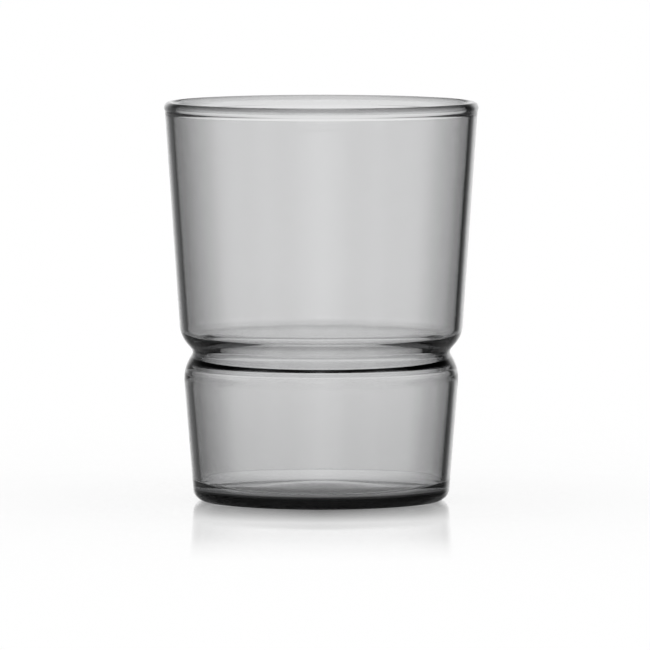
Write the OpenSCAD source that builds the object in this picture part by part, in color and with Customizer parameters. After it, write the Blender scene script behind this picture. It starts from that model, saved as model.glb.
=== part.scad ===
// A tapered water glass of smoke-grey blown glass, pinched in at a waist.
// It is one piece: a closed wall profile turned about the upright axis.
// Millimetres, +Z up, origin at the middle of the surface that the glass stands on.
// A "sharp" diameter or height is that of a corner before it is rounded.

/* [Overall] */
// Height from the table to the top of the lip
height = 101.5; // [88:0.5:130]
// Outside diameter at the lip
rim_d = 80; // [76:0.5:92]

/* [Lower body] */
// Sharp diameter where the lower wall meets the table
foot_d = 64.8; // [58:0.1:68]
// Rounding of the outside edge of the foot
foot_r = 3; // [2:0.1:5]
// Height of the lower wall, up to its sharp shoulder
lower_h = 33.4; // [24:0.1:42]
// Sharp diameter of the lower shoulder
lower_shoulder_d = 70.2; // [69:0.1:74]
// Rounding of the lower shoulder
lower_shoulder_r = 10; // [4:0.5:14]

/* [Waist] */
// Sharp diameter at the bottom of the groove
waist_d = 64.9; // [60:0.1:66]
// Rounding at the bottom of the groove
waist_r = 1.5; // [0.5:0.1:2.5]
// Height of the groove's lower flank
lower_flank_h = 4.6; // [3.5:0.1:7]
// Height of the groove's upper flank
upper_flank_h = 4; // [3:0.1:7]

/* [Upper bowl] */
// Sharp diameter of the upper shoulder, where the bowl begins
upper_shoulder_d = 71.7; // [69:0.1:74]
// Rounding of the upper shoulder
upper_shoulder_r = 7.5; // [4:0.5:12]

/* [Glass thickness] */
// Thickness of the upper wall
upper_wall = 2; // [1.2:0.1:2.6]
// Thickness of the lower wall at its shoulder
lower_wall = 2; // [1.2:0.1:3]
// Thickness of the lower wall at the table
foot_wall = 2.2; // [1.2:0.1:3.2]
// Thickness of the bottom at the edge of the floor
bottom = 2.6; // [1.5:0.1:5]
// Rounding between the inner wall and the floor
floor_r = 3.4; // [1.5:0.1:6]
// Rise of the floor at the middle
floor_rise = 2; // [0.2:0.1:3]

/* [Ridge inside the waist] */
// The inside follows the lower shoulder, steps in to a ridge behind the groove and flares out above it.
// Thickness of the glass at the groove's lower flank, below the step
flank_wall = 2.1; // [1.4:0.1:2.8]
// Rounding of the inside of the lower shoulder
inner_shoulder_r = 3.2; // [1.5:0.1:4]
// How far the step lies above the sharp inside of the lower shoulder
step_rise = 1.8; // [1:0.1:2.4]
// Rounding at the outer edge of the step
step_r = 1.2; // [0.3:0.1:2]
// How far the step rises towards the ridge
step_h = 0.3; // [0:0.05:0.8]
// How far the ridge's lower edge lies inside the groove's sharp corner
ridge_low_in = 2.1; // [1.6:0.1:3]
// Rounding of the ridge's lower edge
ridge_low_r = 0.8; // [0.3:0.1:1.5]
// How far the ridge's crest lies inside the groove's sharp corner
ridge_high_in = 3.2; // [2:0.1:3.8]
// How far the ridge's crest lies above the groove's sharp corner
ridge_high_rise = 0.6; // [0.3:0.1:1.5]
// Rounding of the ridge's crest
ridge_high_r = 3; // [1:0.1:4]
// How far above the upper shoulder the flare ends
flare_h = 1; // [0.2:0.1:3]
// Rounding where the flare runs out into the upper wall
flare_r = 3.2; // [1:0.1:6]

/* [Lip] */
// How far the fire-polished lip stands out from the outside of the wall
lip_out = 0.2; // [0.1:0.05:0.6]
// How far the lip stands in from the inside of the wall
lip_in = 0.8; // [0.2:0.05:1.2]
// Rounding where the lip runs into the wall
lip_blend_r = 1.5; // [0.5:0.1:3]

/* [Underside] */
// Width of the flat ring that the glass stands on
ring_w = 4; // [1.5:0.1:6]
// Rise of the underside at the middle
push_up = 0.4; // [0.2:0.1:1.2]

/* [Hidden] */
glass_grey = [0.62, 0.63, 0.64, 0.6];
// Sides of the turned body
turn_sides = 192;
// Largest angle between neighbouring points on an arc
arc_step = 6;
// Points along the rise of the underside and of the floor
rise_steps = 12;
// Most of a groove flank that a shoulder's rounding may take, the groove's own may take the rest
shoulder_share = 0.6;
// Most of a side of the ridge that one rounding may take
ridge_share = 0.49;
// Two points nearer than this are one
same_point = 0.001;

waist_share = 1 - shoulder_share;
waist_z = lower_h + lower_flank_h;
upper_shoulder_z = waist_z + upper_flank_h;

// Sharp outer corners from the table up
foot_corner = [foot_d / 2, 0];
lower_shoulder = [lower_shoulder_d / 2, lower_h];
waist_corner = [waist_d / 2, waist_z];
upper_shoulder = [upper_shoulder_d / 2, upper_shoulder_z];

// The lip is a round bead, and the upper wall runs from its shoulder to graze the bead
bead_r = (upper_wall + lip_out + lip_in) / 2;
bead_centre = [rim_d / 2 - bead_r, height - bead_r];
to_bead = bead_centre - upper_shoulder;
upper_lean = atan2(to_bead.x, to_bead.y) + asin((bead_r - lip_out) / norm(to_bead));
up_the_wall = [sin(upper_lean), cos(upper_lean)];
out_of_the_wall = [cos(upper_lean), -sin(upper_lean)];
wall_top = upper_shoulder + up_the_wall * norm(to_bead);

// Lines of the inner wall, one wall thickness inside the outer lines
lower_line = [inset(foot_corner, lower_shoulder, foot_wall)[0],
              inset(foot_corner, lower_shoulder, lower_wall)[1]];
flank_line = inset(lower_shoulder, waist_corner, flank_wall);
upper_line = inset(upper_shoulder, wall_top, upper_wall);

// Sharp inner corners from the floor up
floor_middle = [0, bottom];
floor_corner = at_height(lower_line, bottom);
inner_shoulder = meet(lower_line, flank_line);
step = at_height(flank_line, inner_shoulder.y + step_rise);
ridge_low = [waist_corner.x - ridge_low_in, step.y + step_h];
ridge_high = waist_corner + [-ridge_high_in, ridge_high_rise];
flare = at_height(upper_line, upper_shoulder_z + flare_h);
inner_wall_top = upper_line[1];

// The line through a and b, moved towards the axis by the given thickness
function inset(a, b, thickness) =
    let (along = (b - a) / norm(b - a))
    let (inward = [-along.y, along.x] * thickness)
    [a + inward, b + inward];

// The point where two lines cross
function meet(p, q) =
    let (u = p[1] - p[0])
    let (v = q[1] - q[0])
    let (gap = q[0] - p[0])
    p[0] + u * cross(gap, v) / cross(u, v);

// The point of a line at a height
function at_height(line, z) = meet(line, [[0, z], [1, z]]);

// Points on an arc from one angle to another, ends included
function arc(centre, radius, start, end) =
    let (steps = max(2, ceil(abs(end - start) / arc_step)))
    [for (i = [0:steps])
        let (angle = start + (end - start) * i / steps)
        centre + radius * [cos(angle), sin(angle)]];

// The same angle, brought to within half a turn of another one
function near(angle, other) = other + ((angle - other + 540) % 360) - 180;

// The direction of a vector, in degrees
function heading(v) = atan2(v.y, v.x);

// The corner at b on the way from a to c, rounded.
// The rounding shrinks where it would take more than its share of either side.
function rounded(a, b, c, radius, share_a, share_c) =
    let (to_a = (a - b) / norm(a - b))
    let (to_c = (c - b) / norm(c - b))
    let (half = acos(to_a * to_c) / 2)
    let (room = min(share_a * norm(a - b), share_c * norm(c - b)))
    let (reach = min(radius / tan(half), room))
    let (r = reach * tan(half))
    let (middle = (to_a + to_c) / norm(to_a + to_c))
    let (centre = b + middle * reach / cos(half))
    let (start = heading(b + to_a * reach - centre))
    let (end = near(heading(b + to_c * reach - centre), start))
    arc(centre, r, start, end);

// A smooth rise from a flat edge to the middle, listed from the middle out
function rise(edge_r, z, amount) =
    [for (i = [0:rise_steps])
        let (share = i / rise_steps)
        [edge_r * share, z + amount * (1 + cos(180 * share)) / 2]];

// The list in reverse order
function backwards(list) = [for (i = [len(list) - 1:-1:0]) list[i]];

// The list without a point that repeats the one before it, as where two arcs meet
function no_repeats(list) =
    [for (i = [0:len(list) - 1])
        if (i == 0 || norm(list[i] - list[max(i - 1, 0)]) > same_point) list[i]];

// Centre of the arc that blends the bead into one side of the wall.
// side is 1 outside and -1 inside, and stand is how far the bead stands proud there.
function blend_centre(side, stand) =
    let (off = bead_r - stand + lip_blend_r)
    let (below = sqrt(pow(bead_r + lip_blend_r, 2) - off * off))
    bead_centre + out_of_the_wall * side * off - up_the_wall * below;

// The bead with a blend at either side, from the outer wall over the top to the inner wall
function lip() =
    let (outer = blend_centre(1, lip_out))
    let (inner = blend_centre(-1, lip_in))
    let (outer_start = heading(-out_of_the_wall))
    let (outer_end = near(heading(bead_centre - outer), outer_start))
    let (bead_start = near(heading(outer - bead_centre), 0))
    let (bead_end = near(heading(inner - bead_centre), 180))
    let (inner_start = heading(bead_centre - inner))
    let (inner_end = near(heading(out_of_the_wall), inner_start))
    [each arc(outer, lip_blend_r, outer_start, outer_end),
     each arc(bead_centre, bead_r, bead_start, bead_end),
     each arc(inner, lip_blend_r, inner_start, inner_end)];

// The outside, from the table to the upper shoulder
function outer_wall() =
    [each rounded([0, 0], foot_corner, lower_shoulder, foot_r, 1, 0.5),
     each rounded(foot_corner, lower_shoulder, waist_corner, lower_shoulder_r, 0.5, shoulder_share),
     each rounded(lower_shoulder, waist_corner, upper_shoulder, waist_r, waist_share, waist_share),
     each rounded(waist_corner, upper_shoulder, wall_top, upper_shoulder_r, shoulder_share, 0.5)];

// The inside, from the floor over the ridge to the upper wall
function inner_wall() =
    [each rounded(floor_middle, floor_corner, inner_shoulder, floor_r, 1, 0.5),
     each rounded(floor_corner, inner_shoulder, step, inner_shoulder_r, 0.5, ridge_share),
     each rounded(inner_shoulder, step, ridge_low, step_r, ridge_share, ridge_share),
     each rounded(step, ridge_low, ridge_high, ridge_low_r, ridge_share, ridge_share),
     each rounded(ridge_low, ridge_high, flare, ridge_high_r, ridge_share, ridge_share),
     each rounded(ridge_high, flare, inner_wall_top, flare_r, ridge_share, 0.5)];

module wall_profile() {
    outside = outer_wall();
    inside = inner_wall();
    polygon(no_repeats([
        each rise(outside[0].x - ring_w, 0, push_up),
        each outside,
        each lip(),
        each backwards(inside),
        each backwards(rise(inside[0].x, bottom, floor_rise))]));
}

// The whole glass, blown in one piece
module tumbler() {
    color(glass_grey)
        rotate_extrude($fn = turn_sides)
            wall_profile();
}

tumbler();
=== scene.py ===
"""Looks of the smoke-grey water glass: its turned wall, its glass, a white studio and the camera."""
import math

import bmesh
import bpy
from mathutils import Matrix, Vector


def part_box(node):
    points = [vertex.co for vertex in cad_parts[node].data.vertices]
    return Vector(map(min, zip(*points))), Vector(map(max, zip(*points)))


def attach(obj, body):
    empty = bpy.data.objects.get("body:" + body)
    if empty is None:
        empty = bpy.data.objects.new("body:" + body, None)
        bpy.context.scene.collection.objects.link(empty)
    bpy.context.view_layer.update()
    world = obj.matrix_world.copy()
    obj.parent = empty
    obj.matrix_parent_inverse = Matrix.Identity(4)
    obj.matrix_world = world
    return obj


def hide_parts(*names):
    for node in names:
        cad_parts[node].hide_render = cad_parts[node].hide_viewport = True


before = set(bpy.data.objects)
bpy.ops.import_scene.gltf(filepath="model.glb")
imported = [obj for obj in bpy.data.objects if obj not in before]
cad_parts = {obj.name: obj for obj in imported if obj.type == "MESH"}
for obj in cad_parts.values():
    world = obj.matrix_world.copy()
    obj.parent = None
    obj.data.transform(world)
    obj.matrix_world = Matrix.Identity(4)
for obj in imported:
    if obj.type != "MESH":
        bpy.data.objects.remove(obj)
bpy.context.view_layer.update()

MM = 0.001

# Sizes of the glass in millimetres, the same as in the part's source.
# A sharp diameter or height is that of a corner before it is rounded.
FOOT_D = 64.8
FOOT_R = 3
LOWER_H = 33.4
LOWER_SHOULDER_D = 70.2
LOWER_SHOULDER_R = 10
WAIST_D = 64.9
WAIST_R = 1.5
LOWER_FLANK_H = 4.6
UPPER_FLANK_H = 4
UPPER_SHOULDER_D = 71.7
UPPER_SHOULDER_R = 7.5
UPPER_WALL = 2
LOWER_WALL = 2
FOOT_WALL = 2.2
BOTTOM = 2.6
FLOOR_R = 3.4
FLOOR_RISE = 2
LIP_OUT = 0.2
LIP_IN = 0.8
LIP_BLEND_R = 1.5
RING_W = 4
PUSH_UP = 0.4
# The inside of the waist: it follows the lower shoulder, steps in to a ridge behind the groove
# and flares out above it.
FLANK_WALL = 2.1
INNER_SHOULDER_R = 3.2
STEP_RISE = 1.8
STEP_R = 1.2
STEP_H = 0.3
RIDGE_LOW_IN = 2.1
RIDGE_LOW_R = 0.8
RIDGE_HIGH_IN = 3.2
RIDGE_HIGH_RISE = 0.6
RIDGE_HIGH_R = 3
FLARE_H = 1
FLARE_R = 3.2

# The overall height and the lip come from the frame.
glass_low, glass_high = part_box("tumbler")
HEIGHT = glass_high[2] / MM
RIM_D = (glass_high[0] - glass_low[0]) / MM

# Fineness of the mesh: the sides of the turned body, the largest angle between points on an arc,
# the largest gap between rings in millimetres, and the gap below which two points are one
TURN_SIDES = 216
ARC_STEP = math.radians(3)
LONGEST_RING_GAP = 1.6
SAME_POINT = 0.001


def point(r, z):
    """A point of the wall profile: distance from the axis and height."""
    return Vector((r, z))


def heading(v):
    """The direction of a vector, in radians."""
    return math.atan2(v.y, v.x)


def near(angle, other):
    """The same angle, brought to within half a turn of another one."""
    return other + (angle - other + math.pi) % math.tau - math.pi


def arc(centre, radius, start, end):
    """Points on an arc from one angle to another, ends included."""
    steps = max(2, math.ceil(abs(end - start) / ARC_STEP))
    angles = [start + (end - start) * i / steps for i in range(steps + 1)]
    return [centre + radius * point(math.cos(a), math.sin(a)) for a in angles]


def inset(a, b, thickness):
    """The line through a and b, moved towards the axis by the given thickness."""
    along = (b - a).normalized()
    inward = point(-along.y, along.x) * thickness
    return a + inward, b + inward


def cross(u, v):
    """The cross product of two flat vectors."""
    return u.x * v.y - u.y * v.x


def meet(p, q):
    """The point where two lines cross."""
    u = p[1] - p[0]
    v = q[1] - q[0]
    return p[0] + u * (cross(q[0] - p[0], v) / cross(u, v))


def at_height(line, z):
    """The point of a line at a height."""
    return meet(line, (point(0, z), point(1, z)))


def rounded(a, b, c, radius):
    """The corner at b on the way from a to c, rounded."""
    to_a = (a - b).normalized()
    to_c = (c - b).normalized()
    half = math.acos(to_a.dot(to_c)) / 2
    reach = radius / math.tan(half)
    centre = b + (to_a + to_c).normalized() * reach / math.cos(half)
    start = heading(b + to_a * reach - centre)
    end = near(heading(b + to_c * reach - centre), start)
    return arc(centre, radius, start, end)


def rise(edge_r, z, amount):
    """A smooth rise from a flat edge to the middle, listed from the middle out."""
    steps = math.ceil(edge_r / LONGEST_RING_GAP)
    shares = [i / steps for i in range(steps + 1)]
    return [point(edge_r * s, z + amount * (1 + math.cos(math.pi * s)) / 2) for s in shares]


def lip(bead_centre, bead_r, lean):
    """The bead with a blend at either side, from the outer wall over the top to the inner wall."""
    up = point(math.sin(lean), math.cos(lean))
    out = point(math.cos(lean), -math.sin(lean))

    def blend_centre(side, stand):
        off = bead_r - stand + LIP_BLEND_R
        below = math.sqrt((bead_r + LIP_BLEND_R) ** 2 - off ** 2)
        return bead_centre + out * side * off - up * below

    outer = blend_centre(1, LIP_OUT)
    inner = blend_centre(-1, LIP_IN)
    outer_start = heading(-out)
    outer_end = near(heading(bead_centre - outer), outer_start)
    bead_start = near(heading(outer - bead_centre), 0)
    bead_end = near(heading(inner - bead_centre), math.pi)
    inner_start = heading(bead_centre - inner)
    inner_end = near(heading(out), inner_start)
    return (
        arc(outer, LIP_BLEND_R, outer_start, outer_end)
        + arc(bead_centre, bead_r, bead_start, bead_end)
        + arc(inner, LIP_BLEND_R, inner_start, inner_end)
    )


def wall_profile():
    """The closed wall profile, from the middle of the underside round to the middle of the floor."""
    foot = point(FOOT_D / 2, 0)
    lower_shoulder = point(LOWER_SHOULDER_D / 2, LOWER_H)
    waist = point(WAIST_D / 2, LOWER_H + LOWER_FLANK_H)
    upper_shoulder = point(UPPER_SHOULDER_D / 2, LOWER_H + LOWER_FLANK_H + UPPER_FLANK_H)

    bead_r = (UPPER_WALL + LIP_OUT + LIP_IN) / 2
    bead_centre = point(RIM_D / 2 - bead_r, HEIGHT - bead_r)
    to_bead = bead_centre - upper_shoulder
    lean = math.atan2(to_bead.x, to_bead.y) + math.asin((bead_r - LIP_OUT) / to_bead.length)
    wall_top = upper_shoulder + point(math.sin(lean), math.cos(lean)) * to_bead.length

    floor_middle = point(0, BOTTOM)
    lower_line = inset(foot, lower_shoulder, FOOT_WALL)[0], inset(foot, lower_shoulder, LOWER_WALL)[1]
    upper_line = inset(upper_shoulder, wall_top, UPPER_WALL)
    floor_corner = at_height(lower_line, BOTTOM)
    flank_line = inset(lower_shoulder, waist, FLANK_WALL)
    inner_shoulder = meet(lower_line, flank_line)
    step = at_height(flank_line, inner_shoulder.y + STEP_RISE)
    ridge_low = point(waist.x - RIDGE_LOW_IN, step.y + STEP_H)
    ridge_high = waist + point(-RIDGE_HIGH_IN, RIDGE_HIGH_RISE)
    flare = at_height(upper_line, upper_shoulder.y + FLARE_H)

    outside = (
        rounded(point(0, 0), foot, lower_shoulder, FOOT_R)
        + rounded(foot, lower_shoulder, waist, LOWER_SHOULDER_R)
        + rounded(lower_shoulder, waist, upper_shoulder, WAIST_R)
        + rounded(waist, upper_shoulder, wall_top, UPPER_SHOULDER_R)
    )
    inside = (
        rounded(floor_middle, floor_corner, inner_shoulder, FLOOR_R)
        + rounded(floor_corner, inner_shoulder, step, INNER_SHOULDER_R)
        + rounded(inner_shoulder, step, ridge_low, STEP_R)
        + rounded(step, ridge_low, ridge_high, RIDGE_LOW_R)
        + rounded(ridge_low, ridge_high, flare, RIDGE_HIGH_R)
        + rounded(ridge_high, flare, upper_line[1], FLARE_R)
    )
    return (
        rise(outside[0].x - RING_W, 0, PUSH_UP)
        + outside
        + lip(bead_centre, bead_r, lean)
        + inside[::-1]
        + rise(inside[0].x, BOTTOM, FLOOR_RISE)[::-1]
    )


def close_rings(profile):
    """The profile without repeated points, with more points where they lie far apart."""
    points = [profile[0]]
    for p in profile[1:]:
        last = points[-1]
        gap = (p - last).length
        if gap < SAME_POINT:
            continue
        pieces = math.ceil(gap / LONGEST_RING_GAP)
        points += [last.lerp(p, i / pieces) for i in range(1, pieces + 1)]
    return points


def turned_mesh(name, profile):
    """A closed mesh of the profile turned about the axis. Its first and last points lie on the axis."""
    mesh = bmesh.new()
    turns = [math.tau * i / TURN_SIDES for i in range(TURN_SIDES)]
    rings = []
    for p in profile[1:-1]:
        r, z = p.x * MM, p.y * MM
        rings.append([mesh.verts.new((r * math.cos(t), r * math.sin(t), z)) for t in turns])
    under = mesh.verts.new((0, 0, profile[0].y * MM))
    floor = mesh.verts.new((0, 0, profile[-1].y * MM))
    for i in range(TURN_SIDES):
        j = (i + 1) % TURN_SIDES
        mesh.faces.new((under, rings[0][j], rings[0][i]))
        mesh.faces.new((floor, rings[-1][i], rings[-1][j]))
        for low, high in zip(rings, rings[1:]):
            mesh.faces.new((low[i], low[j], high[j], high[i]))
    for face in mesh.faces:
        face.smooth = True
    data = bpy.data.meshes.new(name)
    mesh.to_mesh(data)
    mesh.free()
    piece = bpy.data.objects.new(name, data)
    bpy.context.scene.collection.objects.link(piece)
    return piece


def link(tree, source, output, target, socket):
    """Joins an output of one node to an input of another, both by name."""
    tree.links.new(source.outputs[output], target.inputs[socket])


def feed(tree, value, socket):
    """Gives an input socket the output of another node, or a plain number."""
    if isinstance(value, bpy.types.NodeSocket):
        tree.links.new(value, socket)
    else:
        socket.default_value = value


def maths(tree, operation, *values):
    """A Math node of that operation, fed by sockets or plain numbers. Returns its output socket."""
    node = tree.nodes.new("ShaderNodeMath")
    node.operation = operation
    for socket, value in zip(node.inputs, values):
        feed(tree, value, socket)
    return node.outputs["Value"]


def rest_of(tree, share):
    """What a share leaves of 1."""
    return maths(tree, "SUBTRACT", 1.0, share)


def more_than(tree, count, number):
    """1 where a count of the light path is above a whole number, and 0 elsewhere."""
    return maths(tree, "GREATER_THAN", count, number + 0.5)


def map_range(tree, value, from_min, from_max, to_min, to_max):
    """A clamped Map Range node. Returns its output socket."""
    node = tree.nodes.new("ShaderNodeMapRange")
    limits = {"From Min": from_min, "From Max": from_max, "To Min": to_min, "To Max": to_max}
    for name, limit in limits.items():
        node.inputs[name].default_value = limit
    tree.links.new(value, node.inputs["Value"])
    return node.outputs["Result"]


def choose(tree, switch, off, on):
    """A number that is off where the switch is 0 and on where it is 1. Returns its output socket."""
    node = tree.nodes.new("ShaderNodeMix")
    tree.links.new(switch, node.inputs["Factor"])
    feed(tree, off, node.inputs["A"])
    feed(tree, on, node.inputs["B"])
    return node.outputs["Result"]


def ramp(tree, value, stops):
    """A ramp through (position, grey) stops. Returns its output socket."""
    node = tree.nodes.new("ShaderNodeValToRGB")
    elements = node.color_ramp.elements
    while len(elements) < len(stops):
        elements.new(0.5)
    for element, (position, grey) in zip(elements, stops):
        element.position = position
        element.color = (grey, grey, grey, 1)
    tree.links.new(value, node.inputs["Fac"])
    return node.outputs["Color"]


def angle_ramp(tree, angle, span, stops):
    """A ramp by an angle from half a span below 0 to half a span above. Its stops are in degrees."""
    position = maths(tree, "MULTIPLY_ADD", angle, 1 / span, 0.5)
    return ramp(tree, position, [(0.5 + math.radians(degrees) / span, grey) for degrees, grey in stops])


# The refractive index of the glass, and the colour and density of the tint through its depth
GLASS_IOR = 1.47
GLASS_TINT = (0.495, 0.5, 0.51, 1)
GLASS_TINT_DENSITY = 170
# The faint waves of its surface: how many to a metre, their strength and their height in metres
WAVES_TO_A_METRE = 60
WAVE_STRENGTH = 0.1
WAVE_HEIGHT = 0.0002


def smoke_glass():
    """Clear glass with a smoke-grey tint through its depth and the faint waves of blown glass."""
    material = bpy.data.materials.new("smoke_glass")
    material.use_nodes = True
    tree = material.node_tree
    glass = tree.nodes["Principled BSDF"]
    output = tree.nodes["Material Output"]
    glass.inputs["Base Color"].default_value = (1, 1, 1, 1)
    glass.inputs["Roughness"].default_value = 0
    glass.inputs["IOR"].default_value = GLASS_IOR
    glass.inputs["Transmission Weight"].default_value = 1

    depth = tree.nodes.new("ShaderNodeVolumeAbsorption")
    depth.inputs["Color"].default_value = GLASS_TINT
    depth.inputs["Density"].default_value = GLASS_TINT_DENSITY
    link(tree, depth, "Volume", output, "Volume")

    place = tree.nodes.new("ShaderNodeTexCoord")
    waves = tree.nodes.new("ShaderNodeTexNoise")
    waves.inputs["Scale"].default_value = WAVES_TO_A_METRE
    waves.inputs["Detail"].default_value = 1
    bump = tree.nodes.new("ShaderNodeBump")
    bump.inputs["Strength"].default_value = WAVE_STRENGTH
    bump.inputs["Distance"].default_value = WAVE_HEIGHT
    link(tree, place, "Object", waves, "Vector")
    link(tree, waves, "Fac", bump, "Height")
    link(tree, bump, "Normal", glass, "Normal")
    return material


# Half the width of the table in metres, and the roughness of its gloss
TABLE_HALF_WIDTH = 12
TABLE_ROUGHNESS = 0.04
# Surfaces that light crosses in one wall of the glass
ONE_WALL = 2
# The table mirrors from the first of these slants up, and fully at the second.
# A slant of 1 is edge on, and 0 is from straight above.
SLANT_FROM_ABOVE = 0.5
SLANT_EDGE_ON = 0.9
# How much the table mirrors by the distance from the axis, in metres, and how that fades to either side
MIRROR_STOPS = [
    (0.032, 0.78),
    (0.045, 0.62),
    (0.052, 0.5),
    (0.059, 0.38),
    (0.067, 0.28),
    (0.1, 0.3),
    (0.115, 0.25),
    (0.13, 0.15),
    (0.15, 0.06),
    (0.17, 0),
]
MIRROR_FADE = [(0, 1), (0.014, 0.9), (0.027, 0.86), (0.031, 0.72)]
# How much the table mirrors by its slant, as the glass shows it
MIRROR_IN_GLASS = [
    (0.1, 0.05),
    (0.3, 0.15),
    (0.4, 0.48),
    (0.62, 0.45),
    (0.74, 0.56),
    (0.81, 0.76),
    (0.91, 0.95),
]
# Painted shade on what the table mirrors in the glass: darker nearer the axis, by the distance from it,
# and only where the slant is nearly edge on
MIRROR_SHADE_STOPS = [(0.1, 0.86), (0.18, 0.88), (0.33, 0.93), (0.62, 0.97), (0.9, 1)]
MIRROR_SHADE_SLANT = (0.84, 0.9)
# In the glass a painted ring of light lies round the foot, where the light gathers, by the distance from
# the axis.
# It fades to either side.
PAINTED_RING_STOPS = [(0.0305, 0), (0.033, 0.97), (0.055, 0.97), (0.07, 0)]
PAINTED_RING_FADE = [(0, 1), (0.014, 0.9), (0.024, 0.7), (0.03, 0.5), (0.042, 0)]
# Share of the table under the foot that has painted light for what comes down through the glass, by the
# distance
PAINTED_LIGHT_UNDER_FOOT_STOPS = [(0.016, 0.32), (0.026, 0)]
# How white the rest of the table is in the glass, darkened as painted shade: through one wall, through
# two, and reflected by it
TABLE_THROUGH_ONE_WALL = 0.8
TABLE_THROUGH_TWO_WALLS = 0.4
TABLE_OFF_GLASS = 0.3
# Share of the white table that the shadow of the glass doesn't darken
SHADOW_FREE = 0.6


def white_table():
    """A white table. Seen edge on it mirrors the foot of the glass, and less so further from it. In the
    glass it has painted light round and under the foot, and painted shade elsewhere.
    """
    material = bpy.data.materials.new("white_floor")
    material.use_nodes = True
    tree = material.node_tree
    tree.nodes.clear()
    output = tree.nodes.new("ShaderNodeOutputMaterial")
    path = tree.nodes.new("ShaderNodeLightPath")
    direct = path.outputs["Is Camera Ray"]
    crossings = path.outputs["Transmission Depth"]
    through = more_than(tree, crossings, 0)
    two_walls = more_than(tree, crossings, ONE_WALL)
    weight = tree.nodes.new("ShaderNodeLayerWeight")
    weight.inputs["Blend"].default_value = 0.5
    slant = weight.outputs["Facing"]
    place = tree.nodes.new("ShaderNodeTexCoord")
    length = tree.nodes.new("ShaderNodeVectorMath")
    length.operation = "LENGTH"
    link(tree, place, "Object", length, "Vector")
    reach = length.outputs["Value"]
    split = tree.nodes.new("ShaderNodeSeparateXYZ")
    link(tree, place, "Object", split, "Vector")
    aside = maths(tree, "ABSOLUTE", split.outputs["X"])

    edge_on = map_range(tree, slant, SLANT_FROM_ABOVE, SLANT_EDGE_ON, 0, 1)
    mirror_fade = ramp(tree, aside, MIRROR_FADE)
    mirror_near_foot = maths(tree, "MULTIPLY", ramp(tree, reach, MIRROR_STOPS), mirror_fade)
    mirror_direct = maths(tree, "MULTIPLY", edge_on, mirror_near_foot)
    # Painted light: the table glows in a ring round the foot, where it is seen through the glass.
    painted_ring_light = maths(tree, "MULTIPLY", ramp(tree, reach, PAINTED_RING_STOPS), ramp(tree, aside, PAINTED_RING_FADE))
    painted_ring = maths(tree, "MULTIPLY", painted_ring_light, through)
    mirror_in_glass = maths(tree, "MULTIPLY", ramp(tree, slant, MIRROR_IN_GLASS), rest_of(tree, painted_ring))
    share = choose(tree, direct, mirror_in_glass, mirror_direct)
    # Painted light: the table under the foot glows a little, where it is seen through the glass.
    painted_light_under_foot = maths(tree, "MULTIPLY", ramp(tree, reach, PAINTED_LIGHT_UNDER_FOOT_STOPS), through)
    painted_light = maths(tree, "MAXIMUM", painted_ring, painted_light_under_foot)

    # Painted shade: the matt table is greyer where it is seen through the glass or reflected by it.
    shaded_through_glass = choose(tree, two_walls, TABLE_THROUGH_ONE_WALL, TABLE_THROUGH_TWO_WALLS)
    off_glass = choose(tree, path.outputs["Is Glossy Ray"], 1.0, TABLE_OFF_GLASS)
    matt = tree.nodes.new("ShaderNodeBsdfDiffuse")
    tree.links.new(choose(tree, through, off_glass, shaded_through_glass), matt.inputs["Color"])
    glow = tree.nodes.new("ShaderNodeEmission")
    gloss = tree.nodes.new("ShaderNodeBsdfGlossy")
    gloss.inputs["Roughness"].default_value = TABLE_ROUGHNESS
    # Painted shade: what the table mirrors in the glass is darker nearer the axis.
    mirror_shaded = maths(tree, "MULTIPLY", through, map_range(tree, slant, *MIRROR_SHADE_SLANT, 0, 1))
    tree.links.new(choose(tree, mirror_shaded, 1.0, ramp(tree, reach, MIRROR_SHADE_STOPS)), gloss.inputs["Color"])

    white = tree.nodes.new("ShaderNodeMixShader")
    tree.links.new(choose(tree, direct, painted_light, SHADOW_FREE), white.inputs["Fac"])
    tree.links.new(matt.outputs["BSDF"], white.inputs[1])
    tree.links.new(glow.outputs["Emission"], white.inputs[2])
    surface = tree.nodes.new("ShaderNodeMixShader")
    tree.links.new(share, surface.inputs["Fac"])
    tree.links.new(white.outputs["Shader"], surface.inputs[1])
    tree.links.new(gloss.outputs["BSDF"], surface.inputs[2])
    link(tree, surface, "Shader", output, "Surface")
    return material


def white_floor():
    """The flat top of the table."""
    data = bpy.data.meshes.new("floor")
    mesh = bmesh.new()
    bmesh.ops.create_grid(mesh, x_segments=1, y_segments=1, size=TABLE_HALF_WIDTH)
    mesh.to_mesh(data)
    mesh.free()
    floor = bpy.data.objects.new("floor", data)
    floor.data.materials.append(white_table())
    bpy.context.scene.collection.objects.link(floor)


# Brightness by the angle from the middle of a white panel, in degrees, left of it and right of it
PANEL_STOPS = [
    (-45, 0.07),
    (-30, 0.05),
    (-22, 0.2),
    (-16, 0.38),
    (-11, 0.57),
    (-7, 0.68),
    (-4, 0.82),
    (-2, 0.99),
    (0, 0.99),
    (2, 0.99),
    (4, 0.88),
    (7, 0.79),
    (11, 0.68),
    (16, 0.58),
    (22, 0.08),
    (30, 0.01),
    (45, 0.01),
]
# Grey panels stand halfway between the white ones, from the first of these angles and fully at the second.
# Only the table shows them, as a mirror does.
GREY_PANEL = 0.62
GREY_PANEL_START = 35
GREY_PANEL_FULL = 42
# What the outside of the glass reflects, by the angle from straight behind it: the sides are dark.
# Light that was mirrored twice on its way through the glass is no brighter than this either.
REFLECTED_STOPS = [
    (-180, 1),
    (-120, 1),
    (-85, 0.12),
    (-28, 0.17),
    (-18, 0.6),
    (-10, 1),
    (12, 1),
    (23, 0.78),
    (30, 0.23),
    (36, 0.05),
    (85, 0.05),
    (120, 1),
    (180, 1),
]
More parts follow.
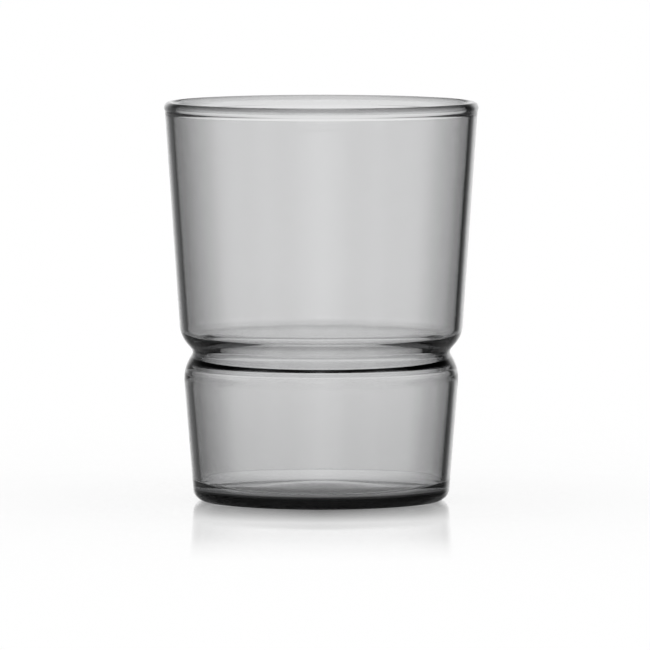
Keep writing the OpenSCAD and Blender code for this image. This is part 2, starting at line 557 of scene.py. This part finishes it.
# Brightness by the angle above the horizon of what shows through the glass
HEIGHT_STOPS = [(-90, 1.0), (60, 1.0), (90, 0.6)]
# The same for what the outside of the glass reflects, and for what the glass itself shows of the front
LOW_HEIGHT_STOPS = [(-90, 1.0), (8, 1.0), (18, 0.15), (90, 0.12)]
# The front sets in gradually between these values of a direction's part towards the back
FRONT_START = -0.35
FRONT_FULL = -0.6


def studio():
    """A white sky. In the glass it is four white panels with dark gaps between them."""
    world = bpy.data.worlds.new("studio")
    world.use_nodes = True
    bpy.context.scene.world = world
    tree = world.node_tree
    sky = tree.nodes["Background"]
    sky.inputs["Strength"].default_value = 1

    direction = tree.nodes.new("ShaderNodeTexCoord")
    split = tree.nodes.new("ShaderNodeSeparateXYZ")
    link(tree, direction, "Generated", split, "Vector")
    x, y, z = (split.outputs[axis] for axis in "XYZ")
    quarter = math.pi / 2
    turn = maths(tree, "ARCTAN2", x, y)
    off_panel = maths(tree, "WRAP", turn, quarter / 2, -quarter / 2)
    panel = angle_ramp(tree, off_panel, quarter, PANEL_STOPS)
    reflected = angle_ramp(tree, turn, math.tau, REFLECTED_STOPS)
    tilt = maths(tree, "ARCSINE", z)
    level = angle_ramp(tree, tilt, math.pi, HEIGHT_STOPS)
    low_level = angle_ramp(tree, tilt, math.pi, LOW_HEIGHT_STOPS)

    path = tree.nodes.new("ShaderNodeLightPath")
    through = more_than(tree, path.outputs["Transmission Depth"], 0)
    twice = more_than(tree, path.outputs["Glossy Depth"], 1)
    lighting = more_than(tree, path.outputs["Diffuse Depth"], 0)
    from_glass = path.outputs["Is Singular Ray"]
    in_front = maths(tree, "MULTIPLY", map_range(tree, y, FRONT_START, FRONT_FULL, 0, 1), from_glass)
    from_white = maths(tree, "ABSOLUTE", off_panel)
    start = math.radians(GREY_PANEL_START)
    full = math.radians(GREY_PANEL_FULL)
    grey = map_range(tree, from_white, start, full, 0, GREY_PANEL)
    grey_panel = maths(tree, "MULTIPLY", grey, rest_of(tree, from_glass))
    both = maths(tree, "ADD", grey_panel, panel)
    shown = maths(tree, "MULTIPLY", both, choose(tree, in_front, level, low_level))
    mirrored = maths(tree, "MULTIPLY", reflected, low_level)
    shown_twice = maths(tree, "MINIMUM", shown, mirrored)
    panels = choose(tree, through, mirrored, choose(tree, twice, shown, shown_twice))

    off_glass = maths(tree, "MAXIMUM", from_glass, twice)
    by_glass = maths(tree, "MAXIMUM", through, off_glass)
    in_glass = maths(tree, "MULTIPLY", by_glass, rest_of(tree, lighting))
    tree.links.new(choose(tree, in_glass, 1.0, panels), sky.inputs["Color"])


def camera():
    """The photograph's view: from a long way off and a little above."""
    distance = 2.5
    height = 0.216
    aim_height = 0.0446
    aside = 0.00095
    view_width = 0.1654
    data = bpy.data.cameras.new("camera")
    data.sensor_width = 36
    span = math.hypot(distance, height - aim_height)
    data.lens = data.sensor_width * span / view_width
    eye = bpy.data.objects.new("camera", data)
    eye.location = (aside, -distance, height)
    eye.rotation_euler = (math.pi / 2 - math.atan2(height - aim_height, distance), 0, 0)
    bpy.context.scene.collection.objects.link(eye)
    bpy.context.scene.camera = eye


glass_body = turned_mesh("glass_body", close_rings(wall_profile()))
glass_body.data.materials.append(smoke_glass())
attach(glass_body, "root")
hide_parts("tumbler")

white_floor()
studio()
camera()

scene = bpy.context.scene
scene.view_settings.view_transform = "Standard"
scene.cycles.max_bounces = 24
scene.cycles.transmission_bounces = 24
scene.cycles.glossy_bounces = 12
